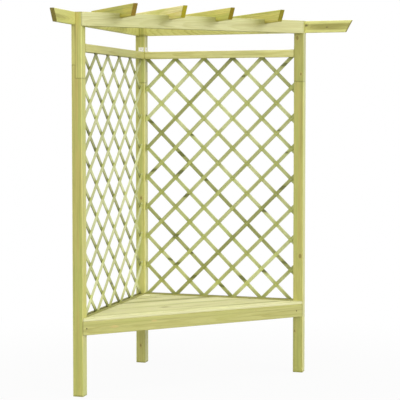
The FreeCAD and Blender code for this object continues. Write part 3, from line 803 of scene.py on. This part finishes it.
BOARD_WOOD = dict(END_WOOD, pale=shade(229, 226, 178), late=shade(196, 192, 124), heart=shade(162, 160, 96),
                  stain=shade(206, 206, 142), knot=shade(150, 136, 80))
BOARDS = {  # the tone, the knots and the long heart patches, by their places from the arbour's middle
    "seat_front_strip": (1.11, (), ()),
    "seat_board_1": (0.97, ((-0.117, -0.257, 0.011),), ((0.33, -0.16, 0.28, 0.014),)),
    "seat_board_2": (1.06, (), ((0.18, -0.33, 0.32, 0.018), (0.02, -0.466, 0.42, 0.020))),
    "seat_board_3": (0.98, (), ((0.02, -0.49, 0.42, 0.022), (-0.12, -0.60, 0.24, 0.016))),
    "seat_corner_board": (1.24, (), ((0.02, -0.66, 0.28, 0.018),))}
for number, (piece, (tone, knots, patches)) in enumerate(BOARDS.items()):
    middle_a, _, middle_c = stick_frame(piece, ALONG_FRONT, UP)[1]
    patches = [(a - middle_a, c - middle_c, long, wide) for a, c, long, wide in patches]
    knots = [(a - middle_a, c - middle_c, size) for a, c, size in knots]
    # The negative edge share darkens each board's long edges, painted shade in the joints between the boards.
    clothe(piece, pine(piece, BOARD_WOOD, ALONG_FRONT, UP, (-0.05 - 0.01 * number, 0.01), tilt=0.015,
                       spacing=0.008, tone=tone, knots=knots, patches=patches, streaks=1.5,
                       edge=(0.012, -0.16), seed=81.0 + 5.3 * number))

# The angle brackets on the rails and the middle bearer: strip steel, cut, bent and then dipped in
# zinc, which leaves flat crystals and dull clouds.

for piece in ("top_rail_brackets", "bottom_rail_brackets", "bearer_bracket"):
    clothe(piece, zinc(piece + "_zinc", shade(248, 247, 240), shade(218, 216, 202), 0.34))

# The screws. Each has a flat or a pan head with a six-pointed recess, a smooth neck, a rolled thread
# and a point. They stand exactly where the frame's plain ones do.

# Sizes in metres; a share is of the plain screw's shank, its head or its length. A head's profile is
# its width as a share of the head, then how high it stands as a share, or how deep in metres.

SCREW_COLUMNS = 12
THREAD_PITCH = 0.0026
ROWS_A_TURN = 4
RIDGE_SHARE = 1.04
CORE_SHARE = 0.72
NECK_WIDE = 0.95
NECK_LONG = 0.30
THREAD_STOPS = 0.1
POINT_LONG = 0.004
POINT_TIP = 0.0002
RECESS_RADIUS = 0.0019
RECESS_LOBE = 0.0004
RECESS_DEEP = 0.0015
RECESS_FLOOR = 0.5
PAN_HEAD = ((0.62, 1.0), (0.86, 0.72), (1.0, 0.25), (1.0, 0.0))
FLAT_HEAD = ((0.97, 0.0), (1.0, 0.0001))
FLAT_CONE = 0.65
ASKEW = (0.31, 0.52, 0.79)
CLOSE = 1e-4
WIDE = 1e-3


def screw_grid(points):
    """A screw round the axis of a plain one. In the screw's own measure t runs from its seat to its
    point and w round the axis: ring = seat + t times the axis + radius(t, w) times the direction at w.
    On the thread, radius = core + ridge x (half + half cos(turns(t) - w)) squared."""
    middle = points.mean(0)
    axis = np.linalg.svd(points - middle, full_matrices=False)[2][0]
    t = (points - middle) @ axis
    radial = np.linalg.norm(points - middle - np.outer(t, axis), axis=1)
    if radial[t > t.max() - CLOSE].max() > WIDE:
        axis = -axis
        t = -t
    head = radial.max()
    seat_t = t[radial > head - CLOSE].mean()
    rise = seat_t - t.min()
    shank = np.median(radial[(t > seat_t + WIDE) & (radial > WIDE)])
    long = t.max() - seat_t

    w = np.arange(SCREW_COLUMNS) * 2 * math.pi / SCREW_COLUMNS
    lobed = RECESS_RADIUS + RECESS_LOBE * np.cos(6 * w)
    pan = rise > WIDE
    neck = 0.0 if pan else FLAT_CONE * head
    neck_end = neck + (long - POINT_LONG) * NECK_LONG
    floor = RECESS_DEEP - rise
    profile = [(lobed * RECESS_FLOOR, floor), (lobed, floor), (lobed, -rise if pan else 0.0)]
    if pan:
        profile += [(head * wide, -rise * up) for wide, up in PAN_HEAD]
    else:
        profile += [(head * wide, down) for wide, down in FLAT_HEAD]
    profile += [(shank * NECK_WIDE, neck), (shank * NECK_WIDE, neck_end)]
    core = shank * CORE_SHARE
    for place in np.arange(neck_end, long - POINT_LONG * THREAD_STOPS, THREAD_PITCH / ROWS_A_TURN)[1:]:
        taper = min(1.0, (long - place) / POINT_LONG)
        ridge = (0.5 + 0.5 * np.cos(2 * math.pi * place / THREAD_PITCH - w)) ** 2
        profile.append((taper * (core + (shank * RIDGE_SHARE - core) * ridge), place))
    profile.append((POINT_TIP, long))

    radii = np.array([np.broadcast_to(radius, w.shape) for radius, place in profile])
    places = np.array([place for radius, place in profile])
    first = np.cross(axis, ASKEW)
    first /= np.linalg.norm(first)
    ways = np.cos(w)[:, None] * first + np.sin(w)[:, None] * np.cross(axis, first)
    return middle + seat_t * axis + places[:, None, None] * axis + radii[:, :, None] * ways


YELLOW_ZINC = (shade(196, 188, 150), shade(150, 140, 96))
SCREWS = {"lap_screws": YELLOW_ZINC, "beam_screws": YELLOW_ZINC, "front_beam_screws": YELLOW_ZINC,
          "rafter_screws": YELLOW_ZINC, "seat_frame_screws": (shade(118, 108, 72), shade(74, 66, 42)),
          "seat_board_screws": YELLOW_ZINC, "bracket_screws": (shade(222, 220, 208), shade(180, 176, 158))}
for group, (colour, dark) in SCREWS.items():
    skin(group + "_threaded", [screw_grid(points) for points in loose_solids(group)],
         zinc(group + "_zinc", colour, dark, 0.28), (group,))

# The studio: a floor and a sky that the camera sees as white, though they light the seat as a pale
# room would, four soft lamps, and the camera at the photograph's angle.

FLOOR_SIDE = 60.0
FLOOR_PAINT = (0.38, 0.38, 0.36, 1.0)
WHITE = (1.0, 1.0, 1.0, 1.0)
SHADOW_SHARE = 0.045
SHADOW_ENDS = (0.8, 2.6)
bpy.ops.mesh.primitive_plane_add(size=FLOOR_SIDE)
floor = bpy.context.object
floor.name = "floor"
material, place = blank("white_floor")
ray = place.add("ShaderNodeLightPath")
seen = ray.math("MAXIMUM", ray.out("Is Camera Ray"), ray.out("Is Glossy Ray"))
far = place.length().rise(*SHADOW_ENDS)
paint = place.add("ShaderNodeBsdfDiffuse", {}, {"Color": FLOOR_PAINT})
glow = place.add("ShaderNodeEmission", {}, {"Color": WHITE, "Strength": 1.0})
both = place.add("ShaderNodeMixShader", {}, {0: seen * (far * SHADOW_SHARE + (1.0 - SHADOW_SHARE)),
                                             1: paint, 2: glow})
place.add("ShaderNodeOutputMaterial", {}, {"Surface": both})
floor.data.materials.append(material)

SKY = (1.0, 0.98, 0.9, 1.0)
SKY_LIGHT = 0.37
world = bpy.data.worlds.new("studio")
bpy.context.scene.world = world
world.use_nodes = True
world.node_tree.nodes.clear()
ray = Wire(world.node_tree.nodes.new("ShaderNodeLightPath").outputs["Is Camera Ray"])
seen = ray.math("MAXIMUM", ray.math("MAXIMUM", ray, ray.out("Is Glossy Ray")), ray.out("Is Transmission Ray"))
light = ray.add("ShaderNodeBackground", {}, {"Color": SKY, "Strength": SKY_LIGHT})
white = ray.add("ShaderNodeBackground", {}, {"Color": WHITE, "Strength": 1.0})
both = ray.add("ShaderNodeMixShader", {}, {0: seen, 1: light, 2: white})
ray.add("ShaderNodeOutputWorld", {}, {"Surface": both})


def lamp(name, direction, level, colour, softness):
    """A far lamp that shines from a direction; a surface square to it gets this share of full light."""
    data = bpy.data.lights.new(name, "SUN")
    data.energy = level * math.pi
    data.color = colour
    data.angle = math.radians(softness)
    lit = bpy.data.objects.new(name, data)
    lit.rotation_euler = Vector(direction).to_track_quat("Z", "Y").to_euler()
    bpy.context.scene.collection.objects.link(lit)


lamp("right_softbox", (1.0, -0.25, 0.35), 0.61, (1.0, 1.0, 1.06), 40.0)
lamp("front_softbox", (0.2, -1.0, 0.25), 0.20, (1.0, 1.0, 0.98), 40.0)
lamp("left_softbox", (-1.0, -0.15, 0.30), 0.38, (1.0, 0.98, 0.88), 40.0)
lamp("top_softbox", (0.1, -0.2, 1.0), 0.34, (1.0, 1.0, 0.98), 40.0)

EYE = (1.9091, -6.2241, 1.4258)
EYE_TURN = 0.3030
EYE_TILT = -0.0517
FOCUS_PIXELS = 1257.5
IMAGE_PIXELS = 400
FILM_SIDE = 36.0
HORIZON_SHIFT = -0.05
eye = bpy.data.cameras.new("eye")
eye.sensor_width = FILM_SIDE
eye.lens = FOCUS_PIXELS / IMAGE_PIXELS * FILM_SIDE
eye.shift_y = HORIZON_SHIFT
camera = bpy.data.objects.new("camera", eye)
camera.location = EYE
camera.rotation_euler = (math.pi / 2 + EYE_TILT, 0.0, EYE_TURN)
bpy.context.scene.collection.objects.link(camera)
bpy.context.scene.camera = camera
bpy.context.scene.view_settings.view_transform = "Standard"
